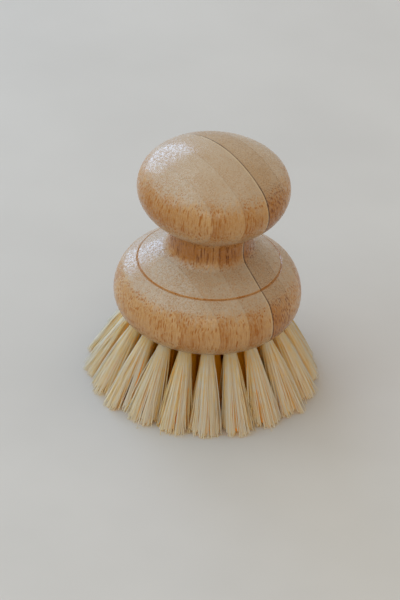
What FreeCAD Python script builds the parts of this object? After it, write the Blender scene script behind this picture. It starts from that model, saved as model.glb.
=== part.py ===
"""Palm dish brush: a turned handle of laminated bamboo with stapled tufts of plant fibre.

Millimetres and degrees, +Z up. The origin is on the turning axis, in the plane of the trimmed fibre
tips that the brush stands on. The glue planes of the bamboo blank are square to X.
"""

import FreeCAD, Part
import math
import os

import Sketcher

# Driving sizes: name, value, meaning.
SIZES = (
    ("trim_height", 24.7, "fibre tips up to the underside of the base"),
    ("rim_radius", 32.5, "widest circle of the base"),
    ("rim_round", 10.0, "quarter round under the widest circle"),
    ("side_round", 15.0, "curve of the side above the widest circle"),
    ("shoulder_rise", 9.2, "widest circle up to the corner between side and slope"),
    ("shoulder_round", 6.0, "rounding of that corner"),
    ("slope_angle", 34.0, "slope of the top of the base"),
    ("scribe_inset", 7.6, "widest circle in to the scribed line on the slope"),
    ("scribe_width", 0.8, "scribed line across"),
    ("scribe_depth", 0.45, "scribed line into the slope"),
    ("neck_radius", 14.5, "neck between base and knob"),
    ("cove_round", 5.0, "cove from the slope into the neck"),
    ("throat_round", 5.0, "cove from the neck into the knob"),
    ("cove_share", 0.7, "most that the radius of a cove may be of the neck's length"),
    ("knob_rise", 42.1, "widest circle of the base up to that of the knob"),
    ("knob_radius", 26.4, "widest circle of the knob"),
    ("knob_crown", 15.4, "widest circle of the knob up to its top"),
    ("crown_round", 10.75, "curve of the knob's side above its widest circle"),
    ("knob_belly", 16.6, "depth of the ellipse under the widest circle of the knob"),
    ("glue_plane", 2.7, "turning axis to the nearest glue plane"),
    ("stave_thickness", 9.8, "one bamboo stave of the blank"),
    ("thinnest_share", 0.3, "least part of a stave that is left outside the last glue plane"),
    ("axis_stave", 4, "number of the stave on the turning axis, counted from -X"),
    ("hole_radius", 2.5, "drilled tuft hole"),
    ("hole_depth", 9.0, "tuft hole along its axis"),
    ("hole_wall", 2.5, "least wood between the holes of one ring at the underside"),
    ("ring_wall", 2.7, "wood between the holes of two rings at the underside"),
    ("outer_inset", 7.9, "widest circle in to the outer ring at the underside"),
    ("outer_turn", -1.5, "first outer tuft from X"),
    ("ring_turn", 8.5, "first tuft of a ring from that of the ring outside it"),
    ("fan_height", 56.3, "underside up to the point from which all tufts fan out"),
    ("tuft_clearance", 0.05, "play of a tuft in its hole"),
    ("tip_gap", 0.4, "least gap between tufts at their tips"),
    ("strand_count", 12, "strands that show round one tuft"),
    ("strand_depth_share", 0.22, "gap between strands at the tips, of the tuft's radius there"),
    ("staple_thickness", 0.4, "flat staple wire across"),
    ("staple_width", 2.0, "flat staple wire along the hole"),
    ("staple_bite", 0.7, "staple into the wood at each end"),
    ("fold_thickness", 1.5, "fibres folded under the staple"),
    ("overrun", 2.0, "how far a cutting shape reaches past the wood"),
)

# Heights above the tips and radii of the turned outline, as sheet formulas.
RIM_HEIGHT = "(Sizes.trim_height + Sizes.rim_round)"
SHOULDER_HEIGHT = f"({RIM_HEIGHT} + Sizes.shoulder_rise)"
SHOULDER_REACH = "sqrt(Sizes.side_round ^ 2 - Sizes.shoulder_rise ^ 2)"
SHOULDER_RADIUS = f"(Sizes.rim_radius - Sizes.side_round + {SHOULDER_REACH})"
SCRIBE_RADIUS = "(Sizes.rim_radius - Sizes.scribe_inset)"
SCRIBE_HEIGHT = f"({SHOULDER_HEIGHT} + ({SHOULDER_RADIUS} - {SCRIBE_RADIUS}) * tan(Sizes.slope_angle))"
KNOB_HEIGHT = f"({RIM_HEIGHT} + Sizes.knob_rise)"
NECK_FOOT = f"({SHOULDER_HEIGHT} + ({SHOULDER_RADIUS} - Sizes.neck_radius) * tan(Sizes.slope_angle))"
NECK_DIP = "Sizes.knob_belly * sqrt(1 - (Sizes.neck_radius / Sizes.knob_radius) ^ 2)"
NECK_HEAD = f"({KNOB_HEIGHT} - {NECK_DIP})"
WAIST = f"(({NECK_FOOT} + {NECK_HEAD}) / 2)"
REACH = "(Sizes.rim_radius + Sizes.knob_radius)"

# Places of the tufts, and the levels of one tuft along its hole, as sheet formulas.
OUTER_RADIUS = "(Sizes.rim_radius - Sizes.outer_inset)"
RING_PITCH = "(2 * Sizes.hole_radius + Sizes.ring_wall)"
TUFT_PITCH = "(2 * Sizes.hole_radius + Sizes.hole_wall)"
FLARE = "(1 + Sizes.trim_height / Sizes.fan_height)"
TIP_RADIUS = f"(({TUFT_PITCH} * {FLARE} - Sizes.tip_gap) / 2)"
ROOT_LEVEL = "(Sizes.hole_depth - Sizes.tuft_clearance)"
STAPLE_LEVEL = f"({ROOT_LEVEL} - Sizes.fold_thickness - Sizes.staple_width)"
STAPLE_LENGTH = "2 * (Sizes.hole_radius + Sizes.staple_bite)"

# Point numbers of a sketch's geometry, and the sketch's own origin and axes.
START, END, CENTRE = 1, 2, 3
ORIGIN = (-1, START)
LEVEL_AXIS, UPRIGHT_AXIS = -1, -2
FULL_TURN = 360

RING_NAMES = ("outer", "middle", "inner")


class Ring:
    """The sheet formulas of one ring of tufts."""

    def __init__(self, name, radius, turn, count):
        self.name = name
        self.radius = radius
        self.turn = turn
        self.count = count
        self.lean = f"atan({radius} / Sizes.fan_height)"

    @classmethod
    def inward(cls, name, order):
        """A ring by its order from the outer one inward, with as many tufts as have room."""
        radius = f"({OUTER_RADIUS} - {order} * {RING_PITCH})"
        step = f"asin({TUFT_PITCH} / (2 * {radius}))"
        turn = f"(Sizes.outer_turn + {order} * Sizes.ring_turn)"
        return cls(name, radius, turn, f"floor({FULL_TURN} deg / (2 * {step}))")

    def number(self, doc):
        """How many tufts the ring has."""
        return int(doc.Sizes.evalExpression(self.count))

    def hole_frame(self):
        """Placement of the first hole before its turn: Z runs up the hole from the underside."""
        return f"placement(vector({self.radius}; 0; Sizes.trim_height); rotationy(-{self.lean}))"

    def turned(self, index):
        """Placement that turns the first piece about the axis to its place in the ring."""
        angle = f"{self.turn} + {index} * {FULL_TURN} / {self.count}"
        return f"placement(vector(0; 0; 0); rotationz({angle}))"

    def mouth_drop(self):
        """How far below the underside the mouth of a leaning hole is clear of the wood."""
        return f"(Sizes.hole_radius * {self.radius} / Sizes.fan_height)"


def make_rings(doc):
    """The rings of tufts from the outer one inward, as many as have room, and the tuft on the axis."""
    rings = []
    for order in range(int(doc.Sizes.evalExpression(f"{OUTER_RADIUS} / {RING_PITCH}"))):
        name = RING_NAMES[order] if order < len(RING_NAMES) else f"ring_{order + 1}"
        rings.append(Ring.inward(name, order))
    return rings + [Ring("centre", radius="0", turn="0", count="1")]


def make_sheet(doc):
    """Writes the driving sizes into a spreadsheet, each under its own alias."""
    sheet = doc.addObject("Spreadsheet::Sheet", "Sizes")
    for row, (name, value, meaning) in enumerate(SIZES, start=1):
        sheet.set(f"A{row}", meaning)
        sheet.set(f"B{row}", str(value))
        sheet.setAlias(f"B{row}", name)
    doc.recompute()
    return sheet


def add_sketch(body, role, name, offset=None):
    """A sketch on one of the body's origin planes, moved there by a placement formula."""
    sketch = body.newObject("Sketcher::SketchObject", name)
    plane = next(item for item in body.Origin.OriginFeatures if item.Role == role)
    sketch.AttachmentSupport = [(plane, "")]
    sketch.MapMode = "FlatFace"
    if offset:
        sketch.setExpression("AttachmentOffset", offset)
    return sketch


def bind(sketch, formula, kind, *where):
    """Adds a dimension to a sketch and ties it to a sheet formula."""
    value = sketch.evalExpression(formula)
    value = math.radians(value) if kind == "Angle" else value
    index = sketch.addConstraint(Sketcher.Constraint(kind, *where, float(value)))
    sketch.setExpression(f"Constraints[{index}]", formula)


def tie(sketch, kind, *where):
    """Adds a constraint that has no value."""
    sketch.addConstraint(Sketcher.Constraint(kind, *where))


def close_outline(sketch, lines, smooth=()):
    """Joins each line or arc of an outline to the next and the last to the first, some smoothly."""
    for line, following in zip(lines, lines[1:] + lines[:1]):
        kind = "Tangent" if line in smooth else "Coincident"
        tie(sketch, kind, line, END, following, START)


def draw_polygon(sketch, corners):
    """Draws a closed outline of straight lines through the corners."""
    lines = []
    for corner, following in zip(corners, corners[1:] + corners[:1]):
        lines.append(sketch.addGeometry(Part.LineSegment(corner, following)))
    close_outline(sketch, lines)
    return lines


def add_cut(body, kind, name, sketch):
    """A cut made by a sketch in a body, of the kind Pocket or Groove."""
    cut = body.newObject(f"PartDesign::{kind}", name)
    cut.Profile = sketch
    return cut


def level(formula):
    """Placement formula of a level along a hole."""
    return f"placement(vector(0; 0; {formula}); rotationz(0))"


def draw_knob(sketch):
    """The knob's side: a half ellipse from the neck to the widest circle, two arcs above it."""
    sizes = sketch.Document.Sizes
    upward = FreeCAD.Vector(0, 0, 1)
    height = sketch.evalExpression(KNOB_HEIGHT)
    neck_angle = -math.acos(sizes.neck_radius / sizes.knob_radius)
    ellipse = Part.Ellipse(FreeCAD.Vector(0, height, 0), sizes.knob_radius, sizes.knob_belly)
    belly = sketch.addGeometry(Part.ArcOfEllipse(ellipse, neck_angle, 0))
    long_axis = sketch.GeometryCount
    short_axis = long_axis + 1
    sketch.exposeInternalGeometry(belly)

    side_centre = FreeCAD.Vector(sizes.knob_radius - sizes.crown_round, height, 0)
    span = sizes.knob_radius**2 + sizes.knob_crown**2 - 2 * sizes.knob_radius * sizes.crown_round
    cap_radius = span / (2 * (sizes.knob_crown - sizes.crown_round))
    cap_centre = FreeCAD.Vector(0, height + sizes.knob_crown - cap_radius, 0)
    join = math.atan2(side_centre.y - cap_centre.y, side_centre.x)
    side = sketch.addGeometry(Part.ArcOfCircle(Part.Circle(side_centre, upward, sizes.crown_round), 0, join))
    cap = sketch.addGeometry(Part.ArcOfCircle(Part.Circle(cap_centre, upward, cap_radius), join, math.pi / 2))

    tie(sketch, "Horizontal", long_axis)
    bind(sketch, "2 * Sizes.knob_belly", "Distance", short_axis)
    tie(sketch, "PointOnObject", belly, CENTRE, UPRIGHT_AXIS)
    bind(sketch, KNOB_HEIGHT, "DistanceY", *ORIGIN, belly, CENTRE)
    tie(sketch, "Horizontal", belly, CENTRE, belly, END)
    bind(sketch, "Sizes.knob_radius", "DistanceX", *ORIGIN, belly, END)
    tie(sketch, "Horizontal", side, CENTRE, side, START)
    bind(sketch, "Sizes.crown_round", "Radius", side)
    tie(sketch, "PointOnObject", cap, CENTRE, UPRIGHT_AXIS)
    bind(sketch, f"{KNOB_HEIGHT} + Sizes.knob_crown", "DistanceY", *ORIGIN, cap, END)
    return [belly, side, cap]


def draw_base(sketch):
    """The base's side: underside, quarter round, side curve and slope, and the neck above it."""
    sizes = sketch.Document.Sizes
    upward = FreeCAD.Vector(0, 0, 1)
    rim_height = sketch.evalExpression(RIM_HEIGHT)
    rim_centre = FreeCAD.Vector(sizes.rim_radius - sizes.rim_round, rim_height, 0)
    side_centre = FreeCAD.Vector(sizes.rim_radius - sizes.side_round, rim_height, 0)
    middle = FreeCAD.Vector(0, sizes.trim_height, 0)
    flat_edge = FreeCAD.Vector(rim_centre.x, sizes.trim_height, 0)
    shoulder = FreeCAD.Vector(sketch.evalExpression(SHOULDER_RADIUS), sketch.evalExpression(SHOULDER_HEIGHT), 0)
    shoulder_angle = math.asin(sizes.shoulder_rise / sizes.side_round)
    neck_foot = FreeCAD.Vector(sizes.neck_radius, sketch.evalExpression(NECK_FOOT), 0)
    neck_head = FreeCAD.Vector(sizes.neck_radius, sketch.evalExpression(NECK_HEAD), 0)
    rim_circle = Part.Circle(rim_centre, upward, sizes.rim_round)
    side_circle = Part.Circle(side_centre, upward, sizes.side_round)

    flat = sketch.addGeometry(Part.LineSegment(middle, flat_edge))
    rim = sketch.addGeometry(Part.ArcOfCircle(rim_circle, -math.pi / 2, 0))
    side = sketch.addGeometry(Part.ArcOfCircle(side_circle, 0, shoulder_angle))
    top = sketch.addGeometry(Part.LineSegment(shoulder, neck_foot))
    neck = sketch.addGeometry(Part.LineSegment(neck_foot, neck_head))

    tie(sketch, "Horizontal", flat)
    bind(sketch, "Sizes.trim_height", "DistanceY", *ORIGIN, flat, START)
    tie(sketch, "Vertical", rim, CENTRE, rim, START)
    tie(sketch, "Horizontal", rim, CENTRE, rim, END)
    bind(sketch, "Sizes.rim_round", "Radius", rim)
    bind(sketch, "Sizes.rim_radius", "DistanceX", *ORIGIN, rim, END)
    tie(sketch, "Horizontal", side, CENTRE, side, START)
    bind(sketch, "Sizes.side_round", "Radius", side)
    bind(sketch, SHOULDER_HEIGHT, "DistanceY", *ORIGIN, side, END)
    bind(sketch, f"{FULL_TURN} / 2 - Sizes.slope_angle", "Angle", top)
    tie(sketch, "Vertical", neck)
    bind(sketch, "Sizes.neck_radius", "DistanceX", *ORIGIN, neck, START)
    return [flat, rim, side, top, neck]


def draw_profile(sketch):
    """The turned outline, and the corners of it that are rounded after turning."""
    flat, rim, side, top, neck = draw_base(sketch)
    belly, crown_side, cap = draw_knob(sketch)
    axis = sketch.addGeometry(Part.LineSegment(sketch.getPoint(cap, END), sketch.getPoint(flat, START)))
    tie(sketch, "PointOnObject", axis, START, UPRIGHT_AXIS)
    tie(sketch, "PointOnObject", axis, END, UPRIGHT_AXIS)
    outline = [flat, rim, side, top, neck, belly, crown_side, cap, axis]
    close_outline(sketch, outline, smooth=(crown_side,))
    return {"shoulder": (top, START), "cove": (neck, START), "throat": (neck, END)}


def rounding_radius(name):
    """Formula of a rounding's radius: a cove that a short neck has no room for is smaller."""
    radius = f"Sizes.{name}_round"
    if name == "shoulder":
        return radius
    return f"min({radius}; Sizes.cove_share * ({NECK_HEAD} - {NECK_FOOT}))"


def ring_edge(shape, radius, height):
    """Name of the round edge of a turned shape that lies nearest to a radius and height."""

    def miss(number):
        edge = shape.Edges[number]
        if edge.Degenerated or not isinstance(edge.Curve, Part.Circle):
            return math.inf
        return abs(edge.Curve.Radius - radius) + abs(edge.Curve.Center.z - height)

    return f"Edge{min(range(len(shape.Edges)), key=miss) + 1}"


def round_corner(body, base, sketch, corner, name):
    """Rounds the edge that one corner of the profile has turned."""
    point = sketch.getPoint(*corner)
    fillet = body.newObject("PartDesign::Fillet", f"{name}_rounding")
    fillet.Base = (base, [ring_edge(base.Shape, point.x, point.y)])
    fillet.setExpression("Radius", rounding_radius(name))
    body.Document.recompute()
    return fillet


def scribe_line(body):
    """Turns the scribed V line into the slope of the base."""
    place = f"vector({SCRIBE_RADIUS}; {SCRIBE_HEIGHT}; 0)"
    offset = f"placement({place}; rotationz(-Sizes.slope_angle))"
    sketch = add_sketch(body, "XZ_Plane", "scribe_section", offset)
    sizes = body.Document.Sizes
    width, depth = sizes.scribe_width, sizes.scribe_depth
    corners = [(0, -depth), (width, depth), (-width, depth)]
    lines = draw_polygon(sketch, [FreeCAD.Vector(x, y, 0) for x, y in corners])
    tie(sketch, "PointOnObject", lines[0], START, UPRIGHT_AXIS)
    tie(sketch, "Horizontal", lines[1])
    tie(sketch, "Equal", lines[0], lines[2])
    bind(sketch, "2 * Sizes.scribe_width", "Distance", lines[1])
    bind(sketch, "Sizes.scribe_depth", "DistanceY", lines[0], START, *ORIGIN)
    bind(sketch, "Sizes.scribe_depth", "DistanceY", *ORIGIN, lines[1], START)
    groove = add_cut(body, "Groove", "scribed_line", sketch)
    groove.ReferenceAxis = (next(f for f in body.Origin.OriginFeatures if f.Role == "Z_Axis"), [""])
    groove.setExpression("Angle", str(FULL_TURN))
    body.Document.recompute()
    return groove


def staple_slot(body, ring, turn):
    """Cuts the place of a ring's first staple, the staple's own size, across the hole."""
    place = f"placement(vector({ring.radius}; Sizes.trim_height; 0); rotationz({ring.lean}))"
    offset = f"placement(vector(0; 0; 0); rotationy({turn})) * {place}"
    sketch = add_sketch(body, "XZ_Plane", f"{ring.name}_staple_section", offset)
    sizes = body.Document.Sizes
    half = sizes.staple_thickness / 2
    low = sketch.evalExpression(STAPLE_LEVEL)
    high = low + sizes.staple_width
    corners = [(-half, low), (half, low), (half, high), (-half, high)]
    lines = draw_polygon(sketch, [FreeCAD.Vector(x, y, 0) for x, y in corners])
    tie(sketch, "Horizontal", lines[2])
    tie(sketch, "Vertical", lines[1])
    tie(sketch, "Vertical", lines[3])
    tie(sketch, "Symmetric", lines[0], START, lines[0], END, UPRIGHT_AXIS)
    bind(sketch, "Sizes.staple_thickness", "Distance", lines[0])
    bind(sketch, "Sizes.staple_width", "Distance", lines[1])
    bind(sketch, STAPLE_LEVEL, "DistanceY", *ORIGIN, lines[0], START)
    slot = add_cut(body, "Pocket", f"{ring.name}_staple_slot", sketch)
    slot.SideType = "Symmetric"
    slot.setExpression("Length", STAPLE_LENGTH)
    return slot


def drill_ring(body, ring):
    """Drills a ring's leaning holes, each with its staple's slot."""
    offset = f"{ring.turned(0)} * {ring.hole_frame()} * {level('Sizes.hole_depth')}"
    sketch = add_sketch(body, "XY_Plane", f"{ring.name}_hole_section", offset)
    middle = FreeCAD.Vector(0, 0, 0)
    circle = sketch.addGeometry(Part.Circle(middle, FreeCAD.Vector(0, 0, 1), body.Document.Sizes.hole_radius))
    tie(sketch, "Coincident", circle, CENTRE, *ORIGIN)
    bind(sketch, "Sizes.hole_radius", "Radius", circle)
    hole = add_cut(body, "Pocket", f"{ring.name}_hole", sketch)
    hole.setExpression("Length", f"Sizes.hole_depth + {ring.mouth_drop()} + Sizes.overrun")
    slot = staple_slot(body, ring, ring.turn)
    pattern = body.newObject("PartDesign::PolarPattern", f"{ring.name}_holes")
    pattern.Originals = [hole, slot]
    pattern.Axis = (next(f for f in body.Origin.OriginFeatures if f.Role == "Z_Axis"), [""])
    pattern.setExpression("Angle", str(FULL_TURN))
    pattern.setExpression("Occurrences", ring.count)
    body.Tip = pattern
    body.Document.recompute()
    return [hole, slot]


def make_handle(doc, rings):
    """The handle as it comes off the lathe and the drill, before it is told apart into staves."""
    body = doc.addObject("PartDesign::Body", "turned_handle")
    profile = add_sketch(body, "XZ_Plane", "turned_profile")
    corners = draw_profile(profile)
    turning = body.newObject("PartDesign::Revolution", "turning")
    turning.Profile = profile
    turning.ReferenceAxis = (profile, ["V_Axis"])
    turning.setExpression("Angle", str(FULL_TURN))
    doc.recompute()
    feature = turning
    for name, corner in corners.items():
        feature = round_corner(body, feature, profile, corner, name)
    cuts = [scribe_line(body)]
    for ring in rings:
        cuts += drill_ring(body, ring)
    return body, cuts


def stave_sides(sizes, radius):
    """The two sides of each stave in a turned shape of that radius, by the number of its upper plane."""
    most = radius - sizes.thinnest_share * sizes.stave_thickness
    first = math.ceil((-most - sizes.glue_plane) / sizes.stave_thickness)
    last = math.floor((most - sizes.glue_plane) / sizes.stave_thickness)
    planes = {n: f"(Sizes.glue_plane + {n} * Sizes.stave_thickness)" for n in range(first, last + 1)}
    sides = {}
    for n in range(first, last + 2):
        sides[n] = (planes.get(n - 1, f"(-{REACH})"), planes.get(n, REACH))
    return sides


def add_block(doc, name, sides, bottom, top):
    """A block between two glue planes and two heights."""
    low, high = sides
    block = doc.addObject("Part::Box", name)
    block.setExpression("Length", f"{high} - {low}")
    block.setExpression("Width", f"2 * {REACH}")
    block.setExpression("Height", f"{top} - {bottom}")
    block.setExpression("Placement", f"placement(vector({low}; -{REACH}; {bottom}); rotationz(0))")
    return block


def cut_stave(doc, handle, name, blocks):
    """The wood of the handle inside one block, or inside two that meet at the waist."""
    tool = blocks[0]
    if len(blocks) > 1:
        tool = doc.addObject("Part::MultiFuse", f"{name}_slab")
        tool.Shapes = blocks
        tool.Refine = True
    stave = doc.addObject("Part::Common", name)
    stave.Base = handle
    stave.Tool = tool
    return stave


def make_staves(doc, handle):
    """The bamboo staves of the blank, from -X to +X. One outside the neck is cut in two by the waist."""
    sizes = doc.Sizes
    base = stave_sides(sizes, sizes.rim_radius)
    knob = stave_sides(sizes, sizes.knob_radius)
    crown = f"({KNOB_HEIGHT} + Sizes.knob_crown + Sizes.overrun)"
    staves = []
    for n in sorted(base.keys() | knob.keys()):
        name = f"bamboo_stave_{n + int(sizes.axis_stave)}"
        low, high = (sizes.evalExpression(side) for side in (base | knob)[n])
        lower = [add_block(doc, f"{name}_low", base[n], "0", WAIST)] if n in base else []
        upper = [add_block(doc, f"{name}_high", knob[n], WAIST, crown)] if n in knob else []
        if lower and upper and max(low, -high) < sizes.neck_radius:
            staves.append(cut_stave(doc, handle, name, lower + upper))
            continue
        if lower:
            staves.append(cut_stave(doc, handle, name, lower))
        if upper:
            staves.append(cut_stave(doc, handle, f"{name}_knob", upper))
    return staves


def draw_strands(sketch, radius, valley):
    """A tuft's section: an even star whose points lie on one circle and its valleys on another."""
    corner_count = 2 * int(sketch.Document.Sizes.strand_count)
    middle = FreeCAD.Vector(0, 0, 0)
    rounds = []
    for formula in (radius, valley):
        circle = Part.Circle(middle, FreeCAD.Vector(0, 0, 1), sketch.evalExpression(formula))
        rounds.append(sketch.addGeometry(circle, True))
        tie(sketch, "Coincident", rounds[-1], CENTRE, *ORIGIN)
        bind(sketch, formula, "Radius", rounds[-1])
    corners = []
    for number in range(corner_count):
        spoke = FreeCAD.Vector(sketch.Geometry[rounds[number % 2]].Radius, 0, 0)
        turn = FreeCAD.Rotation(FreeCAD.Vector(0, 0, 1), number * FULL_TURN / corner_count)
        corners.append(turn.multVec(spoke))
    lines = draw_polygon(sketch, corners)
    for number, line in enumerate(lines):
        tie(sketch, "PointOnObject", line, START, rounds[number % 2])
    for line in lines[1:]:
        tie(sketch, "Equal", lines[0], line)
    tie(sketch, "PointOnObject", lines[0], START, LEVEL_AXIS)


def make_tuft(doc, ring):
    """A ring's first tuft, folded round its staple: a round root that flares into strands."""
    body = doc.addObject("PartDesign::Body", f"{ring.name}_tuft_form")
    root_radius = "(Sizes.hole_radius - Sizes.tuft_clearance)"
    valley = f"{TIP_RADIUS} * (1 - Sizes.strand_depth_share)"
    root_place = f"{ring.hole_frame()} * {level(ROOT_LEVEL)}"
    mouth_level = level(f"-{ring.mouth_drop()}")
    mouth_place = f"{ring.hole_frame()} * {mouth_level}"
    tips_place = f"placement(vector({ring.radius} * {FLARE}; 0; 0); rotationz(0))"
    root = add_sketch(body, "XY_Plane", f"{ring.name}_root", root_place)
    mouth = add_sketch(body, "XY_Plane", f"{ring.name}_mouth", mouth_place)
    tips = add_sketch(body, "XY_Plane", f"{ring.name}_tips", tips_place)
    draw_strands(root, root_radius, root_radius)
    draw_strands(mouth, root_radius, root_radius)
    draw_strands(tips, TIP_RADIUS, valley)
    flare = body.newObject("PartDesign::AdditiveLoft", f"{ring.name}_flare")
    flare.Profile = root
    flare.Sections = [mouth, tips]
    flare.Ruled = True
    slot = staple_slot(body, ring, "0")
    doc.recompute()
    return body, slot


def place_tufts(doc, ring, form):
    """Copies of a ring's first tuft, one for each hole."""
    tufts = []
    for index in range(ring.number(doc)):
        tuft = doc.addObject("Part::Compound", f"{ring.name}_tuft_{index + 1:02d}")
        tuft.Links = [form]
        tuft.setExpression("Placement", ring.turned(index))
        tufts.append(tuft)
    return tufts


def make_staples(doc, rings):
    """The flat wire staples that hold the tufts, one across the bottom of each hole."""
    seat = f"vector(-Sizes.staple_thickness / 2; -{STAPLE_LENGTH} / 2; {STAPLE_LEVEL})"
    wires = []
    for ring in rings:
        for index in range(ring.number(doc)):
            wire = doc.addObject("Part::Box", f"{ring.name}_staple_{index + 1:02d}")
            wire.setExpression("Length", "Sizes.staple_thickness")
            wire.setExpression("Width", STAPLE_LENGTH)
            wire.setExpression("Height", "Sizes.staple_width")
            place = f"{ring.turned(index)} * {ring.hole_frame()} * placement({seat}; rotationz(0))"
            wire.setExpression("Placement", place)
            wires.append(wire)
    staples = doc.addObject("Part::Compound", "staples")
    staples.Links = wires
    return staples


def check(doc, cuts, pieces):
    """Stops the build where an object failed, a cut missed or a piece is not a sound solid."""
    for item in doc.Objects:
        if "Invalid" in item.State or "Error" in item.State:
            raise RuntimeError(f"{item.Label} did not compute: {item.State}")
    for cut in cuts:
        if cut.Shape.Volume >= cut.BaseFeature.Shape.Volume:
            raise RuntimeError(f"{cut.Label} cuts nothing")
    for piece in pieces:
        if piece.Shape.isNull() or not piece.Shape.isValid() or not piece.Shape.Solids:
            raise RuntimeError(f"{piece.Label} is not a sound solid")


def main():
    """Builds the brush and writes one STEP file for each of its pieces."""
    doc = FreeCAD.newDocument("dish_brush")
    make_sheet(doc)
    rings = make_rings(doc)
    handle, cuts = make_handle(doc, rings)
    pieces = make_staves(doc, handle)
    for ring in rings:
        form, slot = make_tuft(doc, ring)
        cuts.append(slot)
        pieces += place_tufts(doc, ring, form)
    pieces.append(make_staples(doc, rings))
    doc.recompute()
    check(doc, cuts, pieces)
    os.makedirs("parts", exist_ok=True)
    for piece in pieces:
        piece.Shape.exportStep(f"parts/{piece.Label}.step")
    print(f"{len(pieces)} pieces, {sum(len(piece.Shape.Solids) for piece in pieces)} solids")


main()
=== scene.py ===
"""Palm dish brush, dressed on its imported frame.

The bamboo staves keep their solids and get a lacquered bamboo finish. Each tuft is rebuilt as a bundle of
separate plant fibres that leaves its drilled hole and fans out to trimmed tips.
"""

import logging
import math
from dataclasses import dataclass, field
from enum import Enum
from functools import reduce

import bpy
import numpy as np
from mathutils import Matrix, Vector


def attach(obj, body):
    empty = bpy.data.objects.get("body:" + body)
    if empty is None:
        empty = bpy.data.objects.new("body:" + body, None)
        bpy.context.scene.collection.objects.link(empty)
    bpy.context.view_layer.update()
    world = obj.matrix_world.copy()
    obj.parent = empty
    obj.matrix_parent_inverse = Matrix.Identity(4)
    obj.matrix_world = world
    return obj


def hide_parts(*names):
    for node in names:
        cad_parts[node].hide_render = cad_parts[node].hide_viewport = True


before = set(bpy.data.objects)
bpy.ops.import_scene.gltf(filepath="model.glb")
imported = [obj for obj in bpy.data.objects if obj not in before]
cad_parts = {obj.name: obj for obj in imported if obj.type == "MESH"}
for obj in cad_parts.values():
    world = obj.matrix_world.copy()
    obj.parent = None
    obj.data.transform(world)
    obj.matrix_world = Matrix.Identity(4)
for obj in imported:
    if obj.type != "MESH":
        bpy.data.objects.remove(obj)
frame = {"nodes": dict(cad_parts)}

Rgb = tuple[float, float, float]
Xyz = tuple[float, float, float]
Pair = tuple[float, float]
Socket = bpy.types.NodeSocket
Value = float | Socket
Inputs = dict[str | int, object]

LOG = logging.getLogger("dish_brush")
MM = 0.001
ROOT_BODY = "root"
WHOLE: Pair = (0.0, 1.0)
MIDDLE = 0.5  # middle of a value that goes from 0 to 1
GOLDEN_TURN = 2.39996  # radians from one fibre to the next, which spreads them evenly
SIDEWAYS = np.array([0, 1.0, 0])  # across a tuft that stands on the X axis
OFF_THE_RUN = np.array([0.3, 0.9, 0.2])  # a direction that no fibre runs in


class Slot(Enum):
    """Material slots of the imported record."""

    BAMBOO = "bamboo"
    FIBRE = "fibre"
    WIRE = "staple_wire"


class Op(Enum):
    """Arithmetic that the finishes use."""

    ADD = "ADD"
    SUBTRACT = "SUBTRACT"
    MULTIPLY = "MULTIPLY"
    DIVIDE = "DIVIDE"
    LESS = "LESS_THAN"
    ABSOLUTE = "ABSOLUTE"


def srgb(red: float, green: float, blue: float) -> Rgb:
    """Turns a colour as it is seen on a screen, 0 to 255, into scene values.

    Args:
        red: red part.
        green: green part.
        blue: blue part.

    Returns:
        The linear colour.
    """

    def linear(part: float) -> float:
        """One part of the colour."""
        share = part / 255
        return share / 12.92 if share <= 0.04045 else ((share + 0.055) / 1.055) ** 2.4

    return linear(red), linear(green), linear(blue)


def rgba(colour: Rgb) -> tuple[float, float, float, float]:
    """The colour with full cover."""
    return (*colour, 1.0)


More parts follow.
